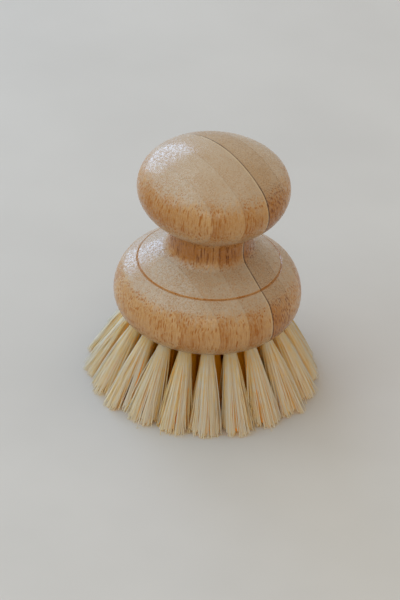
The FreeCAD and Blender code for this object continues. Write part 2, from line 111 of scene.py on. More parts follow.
class Graph:
    """Adds nodes to one node tree and joins them."""

    def __init__(self, tree: bpy.types.NodeTree) -> None:
        """Keeps the tree that the nodes go into."""
        self.tree = tree

    def node(self, kind: str, inputs: Inputs | None = None, **settings: object) -> bpy.types.Node:
        """Adds a node.

        Args:
            kind: Blender's name of the node.
            inputs: what goes into its sockets, a value, a colour or another node's socket.
            settings: the node's own settings.

        Returns:
            The new node.
        """
        node = self.tree.nodes.new(kind)
        for name, value in settings.items():
            setattr(node, name, value)
        for name, value in (inputs or {}).items():
            self.feed(node.inputs[name], value)
        return node

    def feed(self, target: Socket, value: object) -> None:
        """Links a socket into another, or sets that one to a plain value or colour.

        Args:
            target: the socket that is fed.
            value: what goes into it.
        """
        if isinstance(value, Socket):
            self.tree.links.new(value, target)
        else:
            target.default_value = rgba(value) if target.type == "RGBA" else value

    def math(self, op: Op, a: Value, b: Value = 0.0) -> Socket:
        """Does arithmetic on two values."""
        return self.node("ShaderNodeMath", {0: a, 1: b}, operation=op.value).outputs[0]

    def sum(self, *values: Value) -> Socket:
        """Adds up two or more values."""
        return reduce(lambda a, b: self.math(Op.ADD, a, b), values)

    def product(self, *values: Value) -> Socket:
        """Multiplies two or more values."""
        return reduce(lambda a, b: self.math(Op.MULTIPLY, a, b), values)

    def less(self, a: Value, b: Value) -> Socket:
        """Takes the second value from the first."""
        return self.math(Op.SUBTRACT, a, b)

    def ease(self, value: Value, span: tuple[Value, Value], result: Pair = WHOLE) -> Socket:
        """Goes smoothly from one result to another while a value crosses a span.

        Args:
            value: what drives the change.
            span: where the change starts and where it ends.
            result: what comes out up to the start, and from the end on.

        Returns:
            The socket with the result.
        """
        inputs = {
            "Value": value,
            "From Min": span[0],
            "From Max": span[1],
            "To Min": result[0],
            "To Max": result[1],
        }
        return self.node("ShaderNodeMapRange", inputs, interpolation_type="SMOOTHSTEP").outputs[0]

    def blend(self, share: Value, a: Rgb | Socket, b: Rgb | Socket) -> Socket:
        """Mixes two colours, from a at share 0 to b at share 1."""
        inputs = {0: share, 6: a, 7: b}  # the sockets that a mix of colours uses
        return self.node("ShaderNodeMix", inputs, data_type="RGBA", clamp_factor=True).outputs[2]

    def vector(self, x: Value, y: Value, z: Value) -> Socket:
        """Puts three values together."""
        return self.node("ShaderNodeCombineXYZ", {0: x, 1: y, 2: z}).outputs[0]

    def scaled(self, place: Socket, factor: Value) -> Socket:
        """Scales a place by one factor."""
        return self.node("ShaderNodeVectorMath", {0: place, "Scale": factor}, operation="SCALE").outputs[0]

    def stretched(self, place: Socket, factors: Xyz) -> Socket:
        """Stretches a place by its own factor along each axis."""
        return self.node("ShaderNodeVectorMath", {0: place, 1: factors}, operation="MULTIPLY").outputs[0]

    def noise(
        self, place: Socket, scale: float = 1.0, detail: float = 2.0, rough: float = 0.5
    ) -> bpy.types.Node:
        """Adds cloudy noise.

        Args:
            place: where to read it.
            scale: clouds to a unit of place.
            detail: finer layers.
            rough: strength of the finer layers.

        Returns:
            The noise node, whose outputs are a value and a colour.
        """
        inputs = {"Vector": place, "Scale": scale, "Detail": detail, "Roughness": rough}
        return self.node("ShaderNodeTexNoise", inputs)


class Group:
    """A node group with named inputs and outputs."""

    def __init__(self, name: str, inputs: dict[str, str], outputs: dict[str, str]) -> None:
        """Makes the group and its sockets.

        Args:
            name: name of the group.
            inputs: name of each input with its kind.
            outputs: name of each output with its kind.
        """
        self.tree = bpy.data.node_groups.new(name, "ShaderNodeTree")
        for way, sockets in (("INPUT", inputs), ("OUTPUT", outputs)):
            for label, kind in sockets.items():
                self.tree.interface.new_socket(label, in_out=way, socket_type=f"NodeSocket{kind}")
        self.graph = Graph(self.tree)
        self.entry = self.graph.node("NodeGroupInput").outputs
        self.exit = self.graph.node("NodeGroupOutput").inputs

    def give(self, label: str, value: Socket) -> None:
        """Sends a socket out of the group."""
        self.graph.feed(self.exit[label], value)

    def place_in(self, graph: Graph, inputs: Inputs) -> bpy.types.Node:
        """Puts the group into a material with that material's own values."""
        return graph.node("ShaderNodeGroup", inputs, node_tree=self.tree)


class Mottle(Group):
    """The soft unevenness that wood, fibre, wire and floor share."""

    def __init__(self, span: Pair = (0.25, 0.75), detail: float = 3.0) -> None:
        """Makes a value that goes from 0 to 1, in patches of a stated size in millimetres.

        Args:
            span: part of the noise that is spread over the whole range.
            detail: finer layers of the noise.
        """
        super().__init__("soft_mottle", {"Place": "Vector", "Patch": "Float"}, {"Value": "Float"})
        graph = self.graph
        place = graph.scaled(self.entry["Place"], 1 / MM)
        patches = graph.scaled(place, graph.math(Op.DIVIDE, 1.0, self.entry["Patch"]))
        self.give("Value", graph.ease(graph.noise(patches, detail=detail).outputs[0], span))

    def spread_on(self, graph: Graph, patch: float) -> Socket:
        """Spreads the unevenness over the object that a material is on.

        Args:
            graph: the material's graph.
            patch: size of the patches.

        Returns:
            The socket with the value.
        """
        place = graph.node("ShaderNodeTexCoord").outputs["Object"]
        return self.place_in(graph, {"Place": place, "Patch": patch}).outputs["Value"]


@dataclass(frozen=True)
class BambooTones:
    """Colours that all the staves share."""

    side_pale: Rgb = srgb(202, 159, 107)
    side_warm: Rgb = srgb(168, 107, 42)
    # Faces that look up: end grain, paler and greyer, which is partly painted sheen.
    end_and_sheen_pale: Rgb = srgb(188, 167, 143)
    end_and_sheen_warm: Rgb = srgb(173, 140, 104)
    # Darker bundle marks in the waist under the knob: painted shade.
    waist_shade_bundle: Rgb = srgb(104, 50, 4)
    glue: Rgb = srgb(74, 44, 24)
    rim: Rgb = srgb(222, 194, 152)
    scribe: Rgb = srgb(192, 126, 56)


@dataclass(frozen=True)
class Spot:
    """Where a point of a stave lies, as sockets. Lengths are in millimetres."""

    place: Socket
    height: Socket
    out: Socket  # from the turning axis
    tilt: Socket  # 0 on an upright face, 1 on a face that looks up or down
    beyond: Socket  # from the stave's low plane
    short: Socket  # to the stave's high plane
    across: Socket  # share of the way from the low plane to the high one


@dataclass(frozen=True)
class Bamboo:
    """The staves' bamboo: upright fibre bundles in a straw ground, glue lines and the scribed line.

    The bundles run along Z, so they show as dots on faces that look up and as dashes on steep ones. They
    are dense at a stave's low side and thin out towards its high side. Lengths are in millimetres. A rate
    is the number of changes to a millimetre. A pair gives a start and an end.
    """

    tones: BambooTones = BambooTones()

    bend_rate: Xyz = (0.06, 0.06, 0.15)
    bend_detail: float = 1.0
    bend_reach: Xyz = (2.0, 2.0, 0.0)
    bundle_rate: float = 1.45
    bundle_scatter: float = 0.9
    bundle_radius: Pair = (0.3, 0.5)
    bundle_edge: Pair = (1.0, 0.5)
    bundle_strength: Pair = (0.6, 1.0)
    spell_rate: Xyz = (0.5, 0.5, 0.4)
    spell_span: Pair = (0.36, 0.54)
    spell_strength: Pair = (0.2, 1.0)
    # Painted sheen: the bundles fade on faces that look up.
    sheen_fade_tilt: Pair = (0.5, 0.95)
    sheen_fade_strength: Pair = (1.0, 0.3)

    # Where the ground turns to the paler end-grain colour, which is partly painted sheen.
    end_and_sheen_tilt: Pair = (0.26, 0.92)
    end_and_sheen_ragged: float = 0.3
    streak_rate: Xyz = (2.6, 2.6, 0.14)
    streak_detail: float = 3.0
    streak_rough: float = 0.6
    streak_span: Pair = (0.3, 0.7)
    streak_warmth: Pair = (0.4, 0.22)
    across_warmth: Pair = (0.5, 0.12)
    mottle_warmth: float = 0.3
    # Painted shade: the waist under the knob turns warmer and darker between these heights.
    waist_shade_foot: Pair = (53.0, 57.0)
    waist_shade_head: Pair = (66.0, 60.0)
    waist_shade_warmth: float = 0.5

    patchy_rate: float = 0.12
    patchy_span: Pair = (0.3, 0.6)
    patchy_strength: Pair = (0.6, 1.0)
    line_width: float = 0.3
    line_core: float = 0.06
    rim_span: Pair = (0.8, 0.4)
    scribe_radius: float = 24.9
    scribe_width: Pair = (0.6, 0.1)
    scribe_foot: Pair = (40.0, 41.0)
    scribe_head: Pair = (52.0, 51.0)
    scribe_strength: float = 0.5

    roughness: float = 0.3
    grain_roughness: float = 0.1
    bundle_roughness: float = 0.12
    peel_rate: float = 1.15
    peel_rough: float = 0.55
    peel_span: Pair = (0.4, 0.6)
    peel_coat: Pair = (0.1, 1.0)
    bundle_coat: Pair = (1.0, 0.25)
    turning_rate: float = 2.4
    grain_height: float = 0.5
    peel_height: float = 0.5
    turning_height: float = 0.3
    bundle_height: float = -0.5

    def make_group(self) -> Group:
        """Builds the bamboo as a node group.

        Returns:
            A group that puts out the colour, the roughness, the coat and the height of the surface.
        """
        group = Group(
            "bamboo_stave",
            {
                "Place": "Vector",
                "Facing": "Vector",
                "Mottle": "Float",
                "Low Plane": "Float",
                "High Plane": "Float",
                "Density": "Float",
                "Darkness": "Float",
                "Warmth": "Float",
                "Fade": "Float",
                "Low Line": "Float",
                "High Line": "Float",
                "High Rim": "Float",
                "Line Width": "Float",
                "Bundle": "Color",
            },
            {"Color": "Color", "Roughness": "Float", "Coat": "Float", "Height": "Float"},
        )
        spot = self.find_spot(group)
        bundle, size = self.mark_bundles(group, spot)
        streaks = group.graph.stretched(spot.place, self.streak_rate)
        streak = group.graph.noise(streaks, detail=self.streak_detail, rough=self.streak_rough).outputs[0]
        grain = group.graph.ease(streak, self.streak_span)
        wood = self.colour_wood(group, spot, grain, bundle, size)
        group.give("Color", self.draw_lines(group, spot, wood))
        self.lacquer(group, spot, grain, bundle)
        return group

    @staticmethod
    def find_spot(group: Group) -> Spot:
        """Works out where a point lies.

        Args:
            group: the bamboo group.

        Returns:
            Where it lies in the handle and in its stave.
        """
        graph, given = group.graph, group.entry
        place = graph.scaled(given["Place"], 1 / MM)
        x, y, z = graph.node("ShaderNodeSeparateXYZ", {0: place}).outputs
        up = graph.node("ShaderNodeSeparateXYZ", {0: given["Facing"]}).outputs[2]
        flat = graph.vector(x, y, 0.0)
        beyond = graph.less(x, given["Low Plane"])
        return Spot(
            place=place,
            height=z,
            out=graph.node("ShaderNodeVectorMath", {0: flat}, operation="LENGTH").outputs["Value"],
            tilt=graph.math(Op.ABSOLUTE, up),
            beyond=beyond,
            short=graph.less(given["High Plane"], x),
            across=graph.math(Op.DIVIDE, beyond, graph.less(given["High Plane"], given["Low Plane"])),
        )

    def mark_bundles(self, group: Group, spot: Spot) -> tuple[Socket, Socket]:
        """Marks the bundles: cells across the fibres, bent a little along them.

        Args:
            group: the bamboo group.
            spot: where the point lies.

        Returns:
            How strongly a bundle shows, and the size of the bundle from 0 to 1.
        """
        graph, given = group.graph, group.entry
        wander = graph.stretched(spot.place, self.bend_rate)
        bend = graph.noise(wander, detail=self.bend_detail).outputs[1]
        bent = graph.node(
            "ShaderNodeVectorMath", {0: bend, 1: self.bend_reach, 2: spot.place}, operation="MULTIPLY_ADD"
        ).outputs[0]
        cells = graph.node(
            "ShaderNodeTexVoronoi",
            {"Vector": bent, "Scale": self.bundle_rate, "Randomness": self.bundle_scatter},
            voronoi_dimensions="2D",
        ).outputs
        size, chance, shade = graph.node("ShaderNodeSeparateColor", {0: cells["Color"]}).outputs
        inside = graph.math(Op.DIVIDE, cells["Distance"], graph.ease(size, WHOLE, self.bundle_radius))
        crowd = graph.less(given["Density"], graph.product(spot.across, given["Fade"]))
        spell = graph.noise(graph.stretched(spot.place, self.spell_rate)).outputs[0]
        bundle = graph.product(
            graph.ease(inside, self.bundle_edge),
            graph.math(Op.LESS, chance, crowd),
            graph.ease(shade, WHOLE, self.bundle_strength),
            graph.ease(spell, self.spell_span, self.spell_strength),
        )
        return bundle, size

    def colour_wood(self, group: Group, spot: Spot, grain: Socket, bundle: Socket, size: Socket) -> Socket:
        """Colours the ground and the bundles in it, with painted sheen on faces that look up and painted
        shade in the waist.

        Args:
            group: the bamboo group.
            spot: where the point lies.
            grain: fine streaks along the fibres.
            bundle: how strongly a bundle shows.
            size: size of the bundle.

        Returns:
            The colour.
        """
        graph, given, tones = group.graph, group.entry, self.tones
        # Faces that look up get the paler, greyer end-grain ground, partly as painted sheen.
        ragged = graph.product(graph.less(size, MIDDLE), self.end_and_sheen_ragged)
        level = graph.ease(graph.sum(spot.tilt, ragged), self.end_and_sheen_tilt)
        # Painted shade in the waist under the knob: a warmer, darker ground.
        waist = graph.product(
            graph.ease(spot.height, self.waist_shade_foot), graph.ease(spot.height, self.waist_shade_head)
        )
        warmth = graph.sum(
            given["Warmth"],
            graph.product(graph.less(grain, MIDDLE), graph.ease(level, WHOLE, self.streak_warmth)),
            graph.product(graph.less(given["Mottle"], MIDDLE), self.mottle_warmth),
            graph.product(graph.less(MIDDLE, spot.across), graph.ease(level, WHOLE, self.across_warmth)),
            graph.product(waist, self.waist_shade_warmth),
        )
        side_grain = graph.blend(warmth, tones.side_pale, tones.side_warm)
        end_grain_and_sheen = graph.blend(warmth, tones.end_and_sheen_pale, tones.end_and_sheen_warm)
        # Painted sheen: the bundles fade on faces that look up.
        flat = graph.ease(spot.tilt, self.sheen_fade_tilt, self.sheen_fade_strength)
        show = graph.product(bundle, given["Darkness"], flat)
        # Painted shade: the bundle marks turn darker in the waist.
        marks = graph.blend(waist, given["Bundle"], tones.waist_shade_bundle)
        return graph.blend(show, graph.blend(level, side_grain, end_grain_and_sheen), marks)

    def draw_lines(self, group: Group, spot: Spot, wood: Socket) -> Socket:
        """Draws the glue lines, and the scribed line on the slope of the base.

        Args:
            group: the bamboo group.
            spot: where the point lies.
            wood: colour of the wood.

        Returns:
            The colour with the lines.
        """
        graph, given, tones = group.graph, group.entry, self.tones
        cloud = graph.noise(spot.place, scale=self.patchy_rate).outputs[0]
        patchy = graph.ease(cloud, self.patchy_span, self.patchy_strength)
        low_line = graph.ease(spot.beyond, (given["Line Width"], self.line_core))
        high_line = graph.ease(spot.short, (self.line_width, self.line_core))
        lines = graph.sum(
            graph.product(low_line, given["Low Line"], patchy),
            graph.product(high_line, given["High Line"], patchy),
        )
        high_rim = graph.product(graph.ease(spot.short, self.rim_span), given["High Rim"])
        glued = graph.blend(lines, graph.blend(high_rim, wood, tones.rim), tones.glue)
        off = graph.math(Op.ABSOLUTE, graph.less(spot.out, self.scribe_radius))
        scribed = graph.product(
            graph.ease(off, self.scribe_width),
            patchy,
            graph.ease(spot.height, self.scribe_foot),
            graph.ease(spot.height, self.scribe_head),
        )
        return graph.blend(graph.product(scribed, self.scribe_strength), glued, tones.scribe)

    def lacquer(self, group: Group, spot: Spot, grain: Socket, bundle: Socket) -> None:
        """Gives the surface its roughness, its thin uneven coat and its fine relief.

        Args:
            group: the bamboo group.
            spot: where the point lies.
            grain: fine streaks along the fibres.
            bundle: how strongly a bundle shows.
        """
        graph = group.graph
        peel = graph.noise(spot.place, scale=self.peel_rate, rough=self.peel_rough).outputs[0]
        around = graph.vector(spot.out, spot.height, 0.0)
        turning = graph.noise(around, scale=self.turning_rate).outputs[0]
        rough = graph.sum(
            self.roughness,
            graph.product(grain, self.grain_roughness),
            graph.product(bundle, self.bundle_roughness),
        )
        coat = graph.product(
            graph.ease(peel, self.peel_span, self.peel_coat), graph.ease(bundle, WHOLE, self.bundle_coat)
        )
        height = graph.sum(
            graph.product(grain, self.grain_height),
            graph.product(peel, self.peel_height),
            graph.product(turning, self.turning_height),
            graph.product(bundle, self.bundle_height),
        )
        group.give("Roughness", rough)
        group.give("Coat", coat)
        group.give("Height", height)


def new_material(name: str) -> tuple[bpy.types.Material, Graph, bpy.types.Node]:
    """Makes a material.

    Args:
        name: its name.

    Returns:
        The material, a graph to add nodes to it, and its surface shader.
    """
    material = bpy.data.materials.new(name)
    material.use_nodes = True
    return material, Graph(material.node_tree), material.node_tree.nodes["Principled BSDF"]


@dataclass(frozen=True)
class StaveFinish:
    """How one stave of the lacquered bamboo looks. Lengths are in millimetres."""

    low_plane: float
    density: float = 1.25
    darkness: float = 0.9
    warmth: float = 0.45
    fade: float = 1.1
    low_line: float = 0.1
    high_line: float = 0.1
    high_rim: float = 0.0
    line_width: float = 0.3
    bundle: Rgb = srgb(164, 94, 8)
    thickness: float = 9.8
    patch: float = 9.0
    relief: float = 0.12
    relief_strength: float = 0.6
    gloss: float = 0.25
    coat_roughness: float = 0.18

    def make(self, name: str, bamboo: Group, mottle: Mottle) -> bpy.types.Material:
        """Builds the material of the stave.

        Args:
            name: name of the material.
            bamboo: the bamboo group.
            mottle: the unevenness group.

        Returns:
            The material.
        """
        material, graph, shader = new_material(name)
        wood = bamboo.place_in(
            graph,
            {
                "Place": graph.node("ShaderNodeTexCoord").outputs["Object"],
                "Facing": graph.node("ShaderNodeNewGeometry").outputs["Normal"],
                "Mottle": mottle.spread_on(graph, self.patch),
                "Low Plane": self.low_plane,
                "High Plane": self.low_plane + self.thickness,
                "Density": self.density,
                "Darkness": self.darkness,
                "Warmth": self.warmth,
                "Fade": self.fade,
                "Low Line": self.low_line,
                "High Line": self.high_line,
                "High Rim": self.high_rim,
                "Line Width": self.line_width,
                "Bundle": self.bundle,
            },
        ).outputs
        relief = {"Strength": self.relief_strength, "Distance": self.relief * MM, "Height": wood["Height"]}
        graph.feed(shader.inputs["Base Color"], wood["Color"])
        graph.feed(shader.inputs["Roughness"], wood["Roughness"])
        graph.feed(shader.inputs["Coat Weight"], wood["Coat"])
        graph.feed(shader.inputs["Normal"], graph.node("ShaderNodeBump", relief).outputs[0])
        shader.inputs["Specular IOR Level"].default_value = self.gloss
        shader.inputs["Coat Roughness"].default_value = self.coat_roughness
        return material


@dataclass(frozen=True)
class FibreFinish:
    """Dry plant fibre, from ivory through straw to amber. A pair gives a start and an end."""

    ivory: Rgb = srgb(214, 204, 186)
    straw: Rgb = srgb(224, 193, 134)
    amber: Rgb = srgb(255, 164, 14)
    let_through: Rgb = (1.0, 0.83, 0.38)
    # Painted shade: amber near the roots under the base; painted light: paler towards the tips.
    root_shade_span: Pair = (0.75, 0.1)
    root_shade_tone: Pair = (-0.08, 0.2)
    tip_light_span: Pair = (0.7, 1.0)
    tip_light_tone: Pair = (0.0, -0.08)
    straw_span: Pair = (0.1, 0.6)
    amber_span: Pair = (0.55, 0.95)
    patch: float = 2.5
    patch_tone: float = 0.22
    roughness: float = 0.5
    patch_roughness: float = 0.12
    gloss: float = 0.2

    def make(self, mottle: Mottle) -> bpy.types.Material:
        """Builds the material of the fibres.

        Args:
            mottle: the unevenness group.

        Returns:
            The material.
        """
        material, graph, shader = new_material("plant_fibre")
        tone = graph.node("ShaderNodeAttribute", attribute_name="fibre_tone").outputs["Fac"]
        along = graph.node("ShaderNodeAttribute", attribute_name="fibre_along").outputs["Fac"]
        patch = mottle.spread_on(graph, self.patch)
        # Painted shade near the roots under the base, and painted light towards the tips.
        shade = graph.sum(
            tone,
            graph.ease(along, self.root_shade_span, self.root_shade_tone),
            graph.ease(along, self.tip_light_span, self.tip_light_tone),
            graph.product(graph.less(patch, MIDDLE), self.patch_tone),
        )
        young = graph.blend(graph.ease(shade, self.straw_span), self.ivory, self.straw)
        colour = graph.blend(graph.ease(shade, self.amber_span), young, self.amber)
        rough = graph.sum(self.roughness, graph.product(patch, self.patch_roughness))
        graph.feed(shader.inputs["Base Color"], colour)
        graph.feed(shader.inputs["Roughness"], rough)
        shader.inputs["Specular IOR Level"].default_value = self.gloss

        # Thin fibres let light through and turn it golden, so the gaps between the tufts glow.
        through = graph.node("ShaderNodeBsdfTransparent", {"Color": self.let_through}).outputs[0]
        rays = graph.node("ShaderNodeLightPath").outputs
        seen = shader.outputs[0]
        for ray in ("Is Shadow Ray", "Is Diffuse Ray"):
            seen = graph.node("ShaderNodeMixShader", {0: rays[ray], 1: seen, 2: through}).outputs[0]
        graph.feed(graph.tree.nodes["Material Output"].inputs["Surface"], seen)
        return material


@dataclass(frozen=True)
class WireFinish:
    """Drawn staple wire."""

    steel: Rgb = srgb(196, 192, 184)
    dull: Rgb = srgb(140, 134, 126)
    patch: float = 0.6
    roughness: Pair = (0.26, 0.42)

    def make(self, mottle: Mottle) -> bpy.types.Material:
        """Builds the material of the wire.

        Args:
            mottle: the unevenness group.

        Returns:
            The material.
        """
        material, graph, shader = new_material(Slot.WIRE.value)
        patch = mottle.spread_on(graph, self.patch)
        graph.feed(shader.inputs["Base Color"], graph.blend(patch, self.steel, self.dull))
        graph.feed(shader.inputs["Roughness"], graph.ease(patch, WHOLE, self.roughness))
        shader.inputs["Metallic"].default_value = 1.0
        return material


@dataclass(frozen=True)
class FloorFinish:
    """Plain pale floor."""

    pale: Rgb = srgb(203, 197, 192)
    shade: Rgb = srgb(198, 192, 187)
    patch: float = 60.0
    roughness: float = 0.6

    def make(self, mottle: Mottle) -> bpy.types.Material:
        """Builds the material of the floor.

        Args:
            mottle: the unevenness group.

        Returns:
            The material.
        """
        material, graph, shader = new_material("pale_floor")
        patch = mottle.spread_on(graph, self.patch)
        graph.feed(shader.inputs["Base Color"], graph.blend(patch, self.pale, self.shade))
        shader.inputs["Roughness"].default_value = self.roughness
        return material


def dress(node: bpy.types.Object, material: bpy.types.Material) -> None:
    """Gives an object one material all over."""
    node.data.materials.clear()
    node.data.materials.append(material)


@dataclass
class Handle:
    """The turned handle: seven staves, two of which the waist cuts into a base part and a knob part."""

    bamboo: Bamboo = Bamboo()
    first_plane: float = -36.5
    finishes: dict[int, dict[str, float | Rgb]] = field(
        default_factory=lambda: {
            1: {"fade": 0.3, "density": 1.1, "high_line": 0.0},
            2: {"fade": 0.8, "low_line": 0.0},
            3: {},
            4: {"warmth": 0.5, "high_line": 0.6, "high_rim": 0.35},
            5: {"warmth": 0.8, "fade": 0.3, "low_line": 1.0, "line_width": 0.6, "bundle": srgb(118, 58, 6)},
            6: {"density": 0.9, "warmth": 0.3, "fade": 0.4, "low_line": 0.3},
            7: {"warmth": 0.55, "fade": 0.4},
        }
    )

    def build(self, nodes: dict[str, bpy.types.Object], mottle: Mottle) -> list[str]:
        """Dresses the staves.

        Args:
            nodes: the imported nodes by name.
            mottle: the unevenness group.

        Returns:
            The names of the dressed nodes.
        """
        bamboo = self.bamboo.make_group()
        dressed = []
        for number, values in self.finishes.items():
            low_plane = self.first_plane + (number - 1) * StaveFinish.thickness
            finish = StaveFinish(low_plane=low_plane, **values)
            material = finish.make(f"{Slot.BAMBOO.value}_{number}", bamboo, mottle)
            for name in (f"bamboo_stave_{number}", f"bamboo_stave_{number}_knob"):
                if name in nodes:
                    dress(nodes[name], material)
                    dressed.append(name)
        return dressed


@dataclass(frozen=True)
class FibreLie:
    """How the fibres of a tuft lie. Raggedness, bows and wave are in millimetres, the rest are shares."""

    crowding: float = 0.42  # less than a half: the fibres crowd at the edge
    root_scatter: float = 0.03
    clumps: int = 14
    clump_inmost: float = 0.12  # share of the tuft's area that has no clump
    clump_lean: float = 0.07
    clump_pull: float = 0.3
    tip_scatter: float = 0.08
    tip_reach: float = 1.3
    stray_share: float = 0.1
    stray_scatter: float = 0.25
    stray_bow: float = 2.5
    ragged: float = 2.3
    level_cut: float = 2.0  # above 1: most tips are cut level
    bow_outward: Pair = (0.12, 0.22)  # middle and scatter
    bow_sideways: Pair = (0.0, 0.2)
    wave: float = 0.045
    thickness: Pair = (0.75, 1.2)
    tip_thickness: float = 0.78


@dataclass(frozen=True)
class FibreTone:
    """What takes a fibre's tone from pale, 0, towards amber, 1: a random part, and amber painted shade
    further in.
    """

    clump: float = 0.1
    own: float = 0.28
    # Painted shade: amber on the inward side and in the core of each tuft.
    painted_shade_share: float = 0.45
    shaded_back_start: float = 0.7
    shaded_back_rise: float = 0.9
    shaded_core_edge: float = 0.9
    shaded_core_rise: float = 1.9


@dataclass(frozen=True)
class FlatMap:
    """How the fibres lie in rows on a tuft's flat map, and each one's faces as shares of its own cell."""

    rows: int = 12
    sides: Pair = (0.08, 0.92)
    height: float = 0.92
    cap_middle: Pair = (0.5, 0.96)
    cap_reach: Pair = (0.2, 0.02)


@dataclass
class TuftRing:
    """One ring of tufts. Lengths are in millimetres and angles in degrees."""

    name: str
    count: int
    radius: float
    turn: float
    fibres: int
    # amber painted shade for the rings that stand further in the brush
    depth_shade_tone: float = 0.0
    trim_height: float = 24.7
    fan_height: float = 56.3
    root_depth: float = 8.8
    root_radius: float = 2.1
    tip_radius: float = 5.6
    fibre_radius: float = 0.21
    sides: int = 3
    steps: int = 5
    face_outward: float = 0.5
    own_shading: float = 0.25
    lie: FibreLie = FibreLie()
    tones: FibreTone = FibreTone()
    flat_map: FlatMap = FlatMap()

    def build(self, material: bpy.types.Material, seed: int) -> list[bpy.types.Object]:
        """Builds the tufts of the ring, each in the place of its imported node.

        Args:
            material: the fibre material.
            seed: seed of the first tuft.

        Returns:
            The tufts.
        """
        tufts = []
        for index in range(self.count):
            node = f"{self.name}_tuft_{index + 1:02d}"
            tuft = self.make_tuft(f"{node}_fibres", np.random.default_rng(seed + index), index)
            dress(tuft, material)
            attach(tuft, ROOT_BODY)
            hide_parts(node)
            tufts.append(tuft)
        return tufts

    def make_tuft(self, name: str, rng: np.random.Generator, index: int) -> bpy.types.Object:
        """Builds the fibres of one tuft as one mesh.

        Args:
            name: name of the tuft.
            rng: random numbers of this tuft.
            index: place of the tuft in its ring.

        Returns:
            The tuft.
        """
        paths, tone, facing = self.fibre_paths(rng)
        angle = math.radians(self.turn + index * 360 / self.count)
        spin = np.array(Matrix.Rotation(angle, 3, "Z"))
        radii = self.fibre_radius * rng.uniform(*self.lie.thickness, self.fibres)
        points, faces, sections = self.sweep(paths @ spin.T, radii)
        points[:, 2] = np.maximum(points[:, 2], 0)
        mesh = bpy.data.meshes.new(name)
        mesh.from_pydata((points * MM).tolist(), [], faces)
        mesh.polygons.foreach_set("use_smooth", [True] * len(mesh.polygons))
        rings = self.steps + 1
        along = np.tile(np.repeat(np.linspace(0, 1, rings), self.sides), self.fibres)
        self.add_values(mesh, "fibre_tone", np.repeat(tone, rings * self.sides))
        self.add_values(mesh, "fibre_along", along)
        self.lay_out(mesh)
        mesh.update()

        # A thin fibre passes light on, so it shades with the tuft more than by its own round section.
        normals = np.repeat(facing @ spin.T, rings * self.sides, 0) + self.own_shading * sections
        normals /= np.linalg.norm(normals, axis=1, keepdims=True)
        mesh.normals_split_custom_set_from_vertices(normals.tolist())
        tuft = bpy.data.objects.new(name, mesh)
        bpy.context.scene.collection.objects.link(tuft)
        return tuft

    @staticmethod
    def add_values(mesh: bpy.types.Mesh, name: str, values: np.ndarray) -> None:
        """Writes one value to each point of a mesh."""
        mesh.attributes.new(name, "FLOAT", "POINT").data.foreach_set("value", values.astype(np.float32))

    def lay_out(self, mesh: bpy.types.Mesh) -> None:
        """Lays the fibres side by side, in rows, on the mesh's flat map.

        Args:
            mesh: mesh of the tuft.
        """
        layout = self.flat_map
        corners = []
        for ring in range(self.steps):
            low, high = (layout.height * step / self.steps for step in (ring, ring + 1))
            for side in range(self.sides):
                left, right = ((side + edge) / self.sides for edge in layout.sides)
                corners += [(left, low), (right, low), (right, high), (left, high)]
        for side in range(self.sides):
            angle = 2 * math.pi * side / self.sides
            across = layout.cap_middle[0] + layout.cap_reach[0] * math.cos(angle)
            corners.append((across, layout.cap_middle[1] + layout.cap_reach[1] * math.sin(angle)))
        fibre = np.arange(self.fibres)
        columns = math.ceil(self.fibres / layout.rows)
        start = np.stack([fibre % columns, fibre // columns], 1)[:, None]
        flat = (start + np.array(corners)[None]) / np.array([columns, layout.rows])
        mesh.uv_layers.new(name="OFBake").data.foreach_set("uv", flat.astype(np.float32).ravel())

    def fibre_paths(self, rng: np.random.Generator) -> tuple[np.ndarray, np.ndarray, np.ndarray]:
        """Lays out the fibres of a tuft that stands on the X axis.

        Args:
            rng: random numbers of this tuft.

        Returns:
            The points along each fibre, from the bottom of the hole to the tip, each fibre's tone, and
            the way its side of the tuft faces.
        """
        drop = np.array([self.radius / self.fan_height, 0, -1.0])
        drop /= np.linalg.norm(drop)
        outward = np.cross(drop, SIDEWAYS)
        root = self.place_roots(rng)
        tip, home, stray = self.place_tips(rng, root)
        mouth = np.array([self.radius, 0, self.trim_height])
        start = mouth + self.root_radius * (root[:, :1] * outward + root[:, 1:] * SIDEWAYS)
        run = self.run_fibres(rng, start, tip, stray, outward)
        bottom = start - self.root_depth * drop
        paths = np.concatenate([bottom[:, None], run], 1)
        tone = self.tone_fibres(rng, root, home)
        facing = (root[:, :1] + self.face_outward) * outward + root[:, 1:] * SIDEWAYS
        facing /= np.linalg.norm(facing, axis=1, keepdims=True)
        return paths, tone, facing

    def place_roots(self, rng: np.random.Generator) -> np.ndarray:
        """Spreads the fibres over the mouth of the hole.

        Args:
            rng: random numbers of this tuft.

        Returns:
            The place of each fibre, outward and sideways, as shares of the tuft's radius.
        """
        spread = ((np.arange(self.fibres) + 0.5) / self.fibres) ** self.lie.crowding
        turn = np.arange(self.fibres) * GOLDEN_TURN + rng.uniform(0, 2 * math.pi)
        root = spread[:, None] * np.stack([np.cos(turn), np.sin(turn)], 1)
        return root + rng.normal(0, self.lie.root_scatter, root.shape)

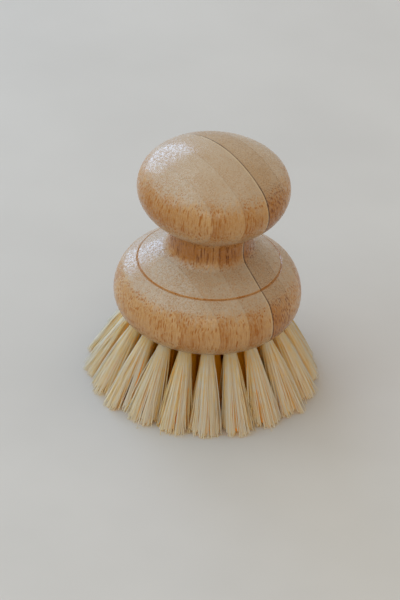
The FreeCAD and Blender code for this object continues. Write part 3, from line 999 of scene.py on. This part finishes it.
    def place_tips(
        self, rng: np.random.Generator, root: np.ndarray
    ) -> tuple[np.ndarray, np.ndarray, np.ndarray]:
        """Places the tips: the fibres cling together in clumps that lean a little, and a few stray.

        Args:
            rng: random numbers of this tuft.
            root: place of each fibre in the mouth of the hole.

        Returns:
            The place of each tip, as shares of the fanned tuft's radius, the clump that each fibre is in,
            and whether it strays.
        """
        lie = self.lie
        turn = rng.uniform(0, 2 * math.pi, lie.clumps)
        spread = np.sqrt(rng.uniform(lie.clump_inmost, 1.0, lie.clumps))
        centre = spread[:, None] * np.stack([np.cos(turn), np.sin(turn)], 1)
        home = np.argmin(np.linalg.norm(root[:, None] - centre[None], axis=2), axis=1)
        lean = rng.normal(0, lie.clump_lean, centre.shape)
        tip = root + lie.clump_pull * (centre[home] - root) + lean[home]
        tip += rng.normal(0, lie.tip_scatter, root.shape)
        stray = rng.random(self.fibres) < lie.stray_share
        tip[stray] += rng.normal(0, lie.stray_scatter, (int(stray.sum()), 2))
        tip *= np.minimum(1, lie.tip_reach / np.linalg.norm(tip, axis=1, keepdims=True))
        return tip, home, stray

    def run_fibres(
        self,
        rng: np.random.Generator,
        start: np.ndarray,
        tip: np.ndarray,
        stray: np.ndarray,
        outward: np.ndarray,
    ) -> np.ndarray:
        """Runs the fibres from the mouth of the hole to their tips, bowed and a little wavy.

        Args:
            rng: random numbers of this tuft.
            start: point of each fibre at the mouth.
            tip: place of each tip in the fanned tuft.
            stray: whether each fibre strays.
            outward: direction out of the tuft, away from the brush.

        Returns:
            The points along each fibre below the mouth.
        """
        lie, single = self.lie, (self.fibres, 1)
        flare = 1 + self.trim_height / self.fan_height
        middle = np.array([self.radius * flare, 0, 0])
        end = middle + self.tip_radius * np.concatenate([tip, np.zeros(single)], 1)
        end[:, 2] = lie.ragged * rng.random(self.fibres) ** lie.level_cut
        share = np.linspace(0, 1, self.steps)[None, :, None]
        run = start[:, None] + share * (end - start)[:, None]
        bow = rng.normal(*lie.bow_outward, single) * outward
        bow += rng.normal(*lie.bow_sideways, single) * SIDEWAYS
        bow[stray] *= lie.stray_bow
        run += (4 * share * (1 - share)) * bow[:, None]
        level = np.array([1.0, 1.0, 0])
        return run + rng.normal(0, lie.wave, run.shape) * share * level

    def tone_fibres(self, rng: np.random.Generator, root: np.ndarray, home: np.ndarray) -> np.ndarray:
        """Tones the fibres: a random part, and amber painted shade on each tuft's inward side, in its core
        and in the inner rings.

        Args:
            rng: random numbers of this tuft.
            root: place of each fibre in the mouth of the hole.
            home: clump that each fibre is in.

        Returns:
            The tone of each fibre.
        """
        tones = self.tones
        # Painted shade: amber on the inward side and in the core of the tuft, and for the inner rings.
        back = np.clip(tones.shaded_back_start - tones.shaded_back_rise * root[:, 0], 0, 1)
        core = np.clip(tones.shaded_core_rise * (tones.shaded_core_edge - np.linalg.norm(root, axis=1)), 0, 1)
        tone = tones.clump * rng.random(self.lie.clumps)[home] + tones.own * rng.random(self.fibres)
        return np.clip(tone + tones.painted_shade_share * (back + core) + self.depth_shade_tone, 0, 1)

    def sweep(self, paths: np.ndarray, radii: np.ndarray) -> tuple[np.ndarray, list[list[int]], np.ndarray]:
        """Sweeps a many-sided section along each path, tapering to the tip.

        Args:
            paths: points along each fibre.
            radii: radius of each fibre.

        Returns:
            The points of the mesh, its faces, and the way out of the fibre at each point.
        """
        count, rings, _ = paths.shape
        run = np.gradient(paths, axis=1)
        run /= np.linalg.norm(run, axis=2, keepdims=True)
        first = np.cross(run, OFF_THE_RUN)
        first /= np.linalg.norm(first, axis=2, keepdims=True)
        second = np.cross(run, first)
        angles = np.arange(self.sides) * 2 * math.pi / self.sides
        taper = np.linspace(1.0, self.lie.tip_thickness, rings)[None, :, None, None]
        section = np.cos(angles)[None, None, :, None] * first[:, :, None]
        section = section + np.sin(angles)[None, None, :, None] * second[:, :, None]
        points = (paths[:, :, None] + taper * radii[:, None, None, None] * section).reshape(-1, 3)
        faces = []
        for fibre in range(count):
            base = fibre * rings * self.sides
            for ring in range(rings - 1):
                low = base + ring * self.sides
                high = low + self.sides
                for side in range(self.sides):
                    following = (side + 1) % self.sides
                    faces.append([low + side, low + following, high + following, high + side])
            last = base + (rings - 1) * self.sides
            faces.append([last + side for side in range(self.sides)])
        return points, faces, section.reshape(-1, 3)


@dataclass
class Bristles:
    """All the tufts, ring by ring, and the staples that hold them."""

    rings: tuple[TuftRing, ...] = (
        TuftRing("outer", 20, 24.6, -1.5, fibres=380),
        TuftRing("middle", 14, 16.9, 7.0, fibres=250, depth_shade_tone=0.75),
        TuftRing("inner", 7, 9.2, 15.5, fibres=170, depth_shade_tone=0.9),
        TuftRing("centre", 1, 0.0, 0.0, fibres=170, depth_shade_tone=0.9),
    )
    seed: int = 400

    def build(self, nodes: dict[str, bpy.types.Object], mottle: Mottle) -> list[str]:
        """Builds the tufts and dresses the staples.

        Args:
            nodes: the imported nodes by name.
            mottle: the unevenness group.

        Returns:
            The names of the pieces.
        """
        fibre = FibreFinish().make(mottle)
        built = []
        for order, ring in enumerate(self.rings):
            built += [tuft.name for tuft in ring.build(fibre, self.seed * (order + 1))]
        dress(nodes["staples"], WireFinish().make(mottle))
        return built + ["staples"]


@dataclass(frozen=True)
class SoftLight:
    """A soft light that looks at the brush. Its place is in metres from the middle of the floor."""

    name: str
    right: float
    nearer: float  # towards the camera
    rise: float
    size: Pair
    power: float
    colour: Rgb

    def hang(self, right: Vector, nearer: Vector, aim: Vector) -> None:
        """Hangs the light.

        Args:
            right: the camera's right.
            nearer: level direction towards the camera.
            aim: where the light looks.
        """
        lamp = bpy.data.lights.new(self.name, "AREA")
        lamp.shape = "RECTANGLE"
        lamp.size, lamp.size_y = self.size
        lamp.energy = self.power
        lamp.color = self.colour
        light = bpy.data.objects.new(self.name, lamp)
        light.location = right * self.right + nearer * self.nearer + Vector((0, 0, 1)) * self.rise
        light.rotation_euler = (aim - light.location).to_track_quat("-Z", "Y").to_euler()
        bpy.context.scene.collection.objects.link(light)


@dataclass
class Studio:
    """Floor, soft light and the camera at the photograph's viewing angle. Lengths are in metres."""

    azimuth: float = -41.0
    elevation: float = 34.0
    roll: float = 3.6
    distance: float = 1.988
    lens: float = 345.0
    sensor: float = 36.0
    sight: float = 20.0
    aim: Xyz = (0.0, 0.0, 0.0347)
    slide: Pair = (-0.00232, -0.00396)
    half_floor: float = 4.0
    lights: tuple[SoftLight, ...] = (
        SoftLight("window", -0.54, -0.92, 0.43, (0.62, 0.7), 4.8, (0.46, 0.67, 1.0)),
        SoftLight("sky", -0.85, 0.1, 0.95, (1.5, 1.5), 8.1, (0.5, 0.78, 1.0)),
        SoftLight("overhead", -0.1, 0.0, 1.3, (1.5, 1.5), 2.4, (1.0, 0.92, 0.86)),
        SoftLight("front", -0.1, 1.25, 0.55, (0.8, 0.5), 1.4, (1.0, 0.9, 0.75)),
    )
    around: Rgb = (1.0, 0.94, 0.81)
    around_strength: float = 0.6

    def build(self, mottle: Mottle) -> None:
        """Builds the stage.

        Args:
            mottle: the unevenness group.
        """
        self.add_floor(mottle)
        self.add_lights()
        self.add_camera()

    def axes(self) -> tuple[Vector, Vector, Vector]:
        """Finds the directions of a level camera at the viewing angle.

        Returns:
            Its right, its up and its back.
        """
        turn, tilt = math.radians(self.azimuth), math.radians(self.elevation)
        back = Vector((math.sin(turn) * math.cos(tilt), -math.cos(turn) * math.cos(tilt), math.sin(tilt)))
        right = Vector((math.cos(turn), math.sin(turn), 0))
        return right, back.cross(right), back

    def add_floor(self, mottle: Mottle) -> None:
        """Lays the floor.

        Args:
            mottle: the unevenness group.
        """
        half = self.half_floor
        mesh = bpy.data.meshes.new("floor")
        corners = [(-half, -half, 0), (half, -half, 0), (half, half, 0), (-half, half, 0)]
        mesh.from_pydata(corners, [], [(0, 1, 2, 3)])
        floor = bpy.data.objects.new("floor", mesh)
        bpy.context.scene.collection.objects.link(floor)
        dress(floor, FloorFinish().make(mottle))

    def add_lights(self) -> None:
        """Hangs the soft lights: one low behind, one on the left, one above and a weak one in front.

        The rest is even light from all round.
        """
        right, _, back = self.axes()
        nearer = Vector((back.x, back.y, 0)).normalized()
        for light in self.lights:
            light.hang(right, nearer, Vector(self.aim))
        world = bpy.data.worlds.new("studio")
        world.use_nodes = True
        background = world.node_tree.nodes["Background"].inputs
        background["Color"].default_value = rgba(self.around)
        background["Strength"].default_value = self.around_strength
        bpy.context.scene.world = world

    def add_camera(self) -> None:
        """Sets up the camera, rolled as the photograph is."""
        right, up, back = self.axes()
        aim = Vector(self.aim) + right * self.slide[0] + up * self.slide[1]
        roll = math.radians(self.roll)
        level = right * math.cos(roll) + up * math.sin(roll)
        rise = up * math.cos(roll) - right * math.sin(roll)
        camera = bpy.data.cameras.new("camera")
        camera.lens = self.lens
        camera.sensor_width = self.sensor
        camera.clip_end = self.sight
        view = bpy.data.objects.new("camera", camera)
        turn = Matrix((level, rise, back)).transposed().to_4x4()
        view.matrix_world = Matrix.Translation(aim + back * self.distance) @ turn
        bpy.context.scene.collection.objects.link(view)
        bpy.context.scene.camera = view


def main() -> None:
    """Builds the scene, sub-assembly by sub-assembly."""
    logging.basicConfig(level=logging.INFO, format="%(name)s: %(message)s")
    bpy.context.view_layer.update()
    bpy.context.scene.view_settings.view_transform = "Standard"
    mottle = Mottle()
    Studio().build(mottle)
    for assembly in (Handle(), Bristles()):
        for piece in assembly.build(frame["nodes"], mottle):
            LOG.info("%s: %s", type(assembly).__name__, piece)


if __name__ == "__main__":
    main()
